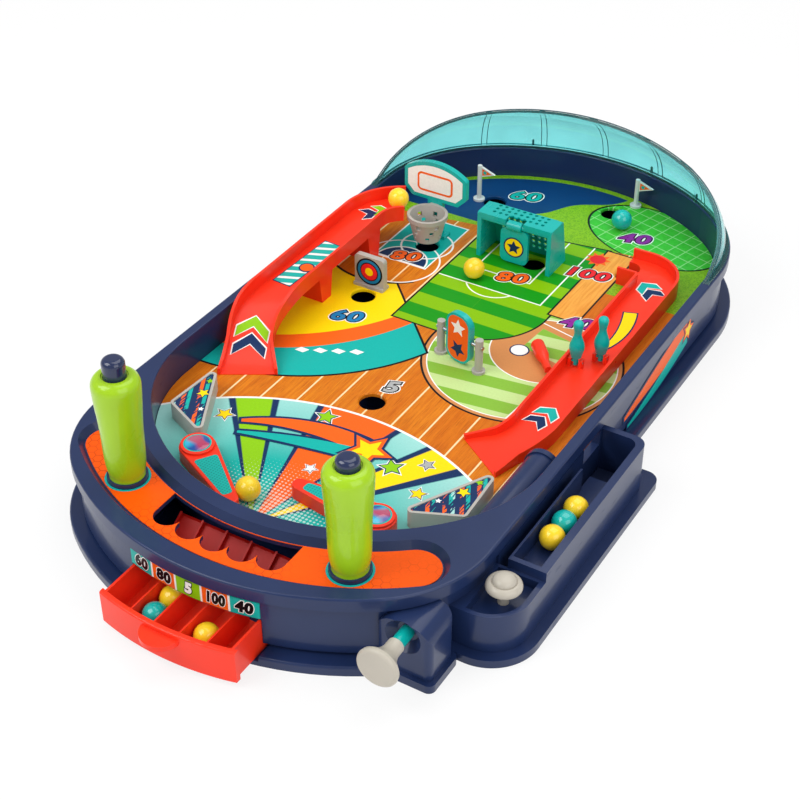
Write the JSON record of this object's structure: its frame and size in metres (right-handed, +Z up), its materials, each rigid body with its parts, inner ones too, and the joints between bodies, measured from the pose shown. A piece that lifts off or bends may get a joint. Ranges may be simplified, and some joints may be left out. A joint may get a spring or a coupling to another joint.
{
  "type": "tabletop pinball game",
  "caption": "Tabletop sports pinball game with flippers worked by grip buttons, spring plunger, ball loader, ramps, scoring holes, score drawer and a clear back dome.",
  "frame": {"origin": "on the table, in the middle of the body's outline", "axes": "+X to the player's right, +Y away from the player, +Z up"},
  "size_m": [0.2865, 0.5318, 0.1205],
  "materials": {
    "navy_plastic": "glossy",
    "navy_button": "glossy",
    "lime_plastic": "glossy",
    "red_plastic": "glossy",
    "teal_plastic": "glossy",
    "beige_plastic": "satin",
    "grey_plastic": "satin",
    "inner_plastic": "satin",
    "board_print": "printed sheet",
    "overlay_print": "printed sheet",
    "label_print": "printed sheet",
    "clear_cyan": "clear",
    "yellow_ball": "pearly",
    "teal_ball": "pearly",
    "spring_steel": "drawn wire",
    "screw_steel": "zinc plated",
    "white_plastic": "satin"
  },
  "bodies": {
    "cabinet": {"backboard": "teal_plastic", "ball_tray": "navy_plastic", "base_tub": "navy_plastic", "basket": "grey_plastic", "bat": "red_plastic", "body_shell": "navy_plastic", "deck_overlay": "overlay_print", "dome": "clear_cyan", "goal": "teal_plastic", "goal_net": "teal_plastic", "green_flag": "white_plastic", "lake_flag": "white_plastic", "launch_tube": "navy_plastic", "left_button_spring": "spring_steel", "left_grip": "lime_plastic", "left_grip_ring": "teal_plastic", "left_ramp": "red_plastic", "left_slingshot": "grey_plastic", "loader_pin": "spring_steel", "playfield_board": "board_print", "plunger_housing": "navy_plastic", "plunger_spring": "spring_steel", "right_button_spring": "spring_steel", "right_grip": "lime_plastic", "right_grip_ring": "teal_plastic", "right_ramp": "red_plastic", "right_slingshot": "grey_plastic", "score_channels": "red_plastic", "score_hood": "red_plastic", "score_label": "label_print", "screws": "screw_steel", "spinner_posts": "grey_plastic", "target": "grey_plastic", "teal_balls": "teal_ball", "yellow_balls": "yellow_ball"},
    "left_button": {"left_button": "navy_button", "left_push_rod": "inner_plastic"},
    "right_button": {"right_button": "navy_button", "right_push_rod": "inner_plastic"},
    "left_slider": {"left_drive_slider": "inner_plastic"},
    "right_slider": {"right_drive_slider": "inner_plastic"},
    "left_flipper": {"left_flipper": "red_plastic", "left_flipper_crank": "inner_plastic", "flipper_ball": "yellow_ball"},
    "right_flipper": {"right_flipper": "red_plastic", "right_flipper_crank": "inner_plastic"},
    "drawer": {"drawer": "red_plastic", "drawer_yellow_balls": "yellow_ball", "drawer_teal_ball": "teal_ball"},
    "plunger": {"plunger_rod": "teal_plastic", "plunger_knob": "beige_plastic"},
    "loader_knob": {"loader_knob": "beige_plastic"},
    "loader_lever": {"loader_lever": "inner_plastic"},
    "keeper": {"goalkeeper": "teal_plastic"},
    "spinner": {"spinner_plate": "teal_plastic", "spinner_axle": "spring_steel"},
    "front_pin": {"front_pin": "teal_plastic"},
    "rear_pin": {"rear_pin": "teal_plastic"}
  },
  "joints": [
    {"name": "left_button_press", "type": "slide", "parent": "cabinet", "child": "left_button", "axis": [0, 0, -1], "range_m": [0, 0.00534], "stiffness_N_per_m": 300, "springref_m": -0.004, "deforming": ["left_button_spring"]},
    {"name": "left_slider_shift", "type": "slide", "parent": "cabinet", "child": "left_slider", "axis": [0, 1, 0], "range_m": [0, 0.00535]},
    {"name": "left_flipper_swing", "type": "hinge", "parent": "cabinet", "child": "left_flipper", "pos_m": [-0.0625, -0.152, 0.03], "axis": [0, 0, 1], "range_deg": [0, 39.1]},
    {"name": "right_button_press", "type": "slide", "parent": "cabinet", "child": "right_button", "axis": [0, 0, -1], "range_m": [-0.0048, 0.00054], "stiffness_N_per_m": 300, "springref_m": -0.0088, "deforming": ["right_button_spring"]},
    {"name": "right_slider_shift", "type": "slide", "parent": "cabinet", "child": "right_slider", "axis": [0, 1, 0], "range_m": [-0.00481, 0.00055]},
    {"name": "right_flipper_swing", "type": "hinge", "parent": "cabinet", "child": "right_flipper", "pos_m": [0.0545, -0.152, 0.03], "axis": [0, 0, -1], "range_deg": [-35.1, 4]},
    {"name": "drawer_slide", "type": "slide", "parent": "cabinet", "child": "drawer", "axis": [0, -1, 0], "range_m": [-0.022, 0.012]},
    {"name": "plunger_pull", "type": "slide", "parent": "cabinet", "child": "plunger", "axis": [0, -1, 0], "range_m": [0, 0.02], "stiffness_N_per_m": 250, "deforming": ["plunger_spring"]},
    {"name": "loader_press", "type": "slide", "parent": "cabinet", "child": "loader_knob", "axis": [0, 0, -1], "range_m": [0, 0.008], "stiffness_N_per_m": 100, "springref_m": -0.004},
    {"name": "loader_lever_rock", "type": "hinge", "parent": "cabinet", "child": "loader_lever", "pos_m": [0.126, -0.124, 0.014], "axis": [1, 0, 0], "range_deg": [0, 11.5]},
    {"name": "keeper_swing", "type": "hinge", "parent": "cabinet", "child": "keeper", "pos_m": [-0.0073, 0.119, 0.0538], "axis": [1, 0, 0], "range_deg": [-60, 35]},
    {"name": "spinner_spin", "type": "hinge", "parent": "cabinet", "child": "spinner", "pos_m": [0.0165, 0.0037, 0.043], "axis": [0.9744, -0.225, 0], "continuous": true},
    {"name": "front_pin_tip", "type": "hinge", "parent": "cabinet", "child": "front_pin", "pos_m": [0.0806, 0.031, 0.0323], "axis": [-1, 0, 0], "range_deg": [0, 70], "stiffness_Nm_per_rad": 0.003, "springref_deg": -5.73},
    {"name": "rear_pin_tip", "type": "hinge", "parent": "cabinet", "child": "rear_pin", "pos_m": [0.0916, 0.042, 0.03261], "axis": [-1, 0, 0], "range_deg": [0, 70], "stiffness_Nm_per_rad": 0.003, "springref_deg": -5.73}
  ],
  "couplings": [
    {"joint": "left_slider_shift", "follows": "left_button_press", "ratio": 1},
    {"joint": "left_flipper_swing", "follows": "left_button_press", "rad_per_m": 127.4},
    {"joint": "right_slider_shift", "follows": "right_button_press", "ratio": 1},
    {"joint": "right_flipper_swing", "follows": "right_button_press", "rad_per_m": 127.4},
    {"joint": "loader_lever_rock", "follows": "loader_press", "rad_per_m": 25}
  ]
}
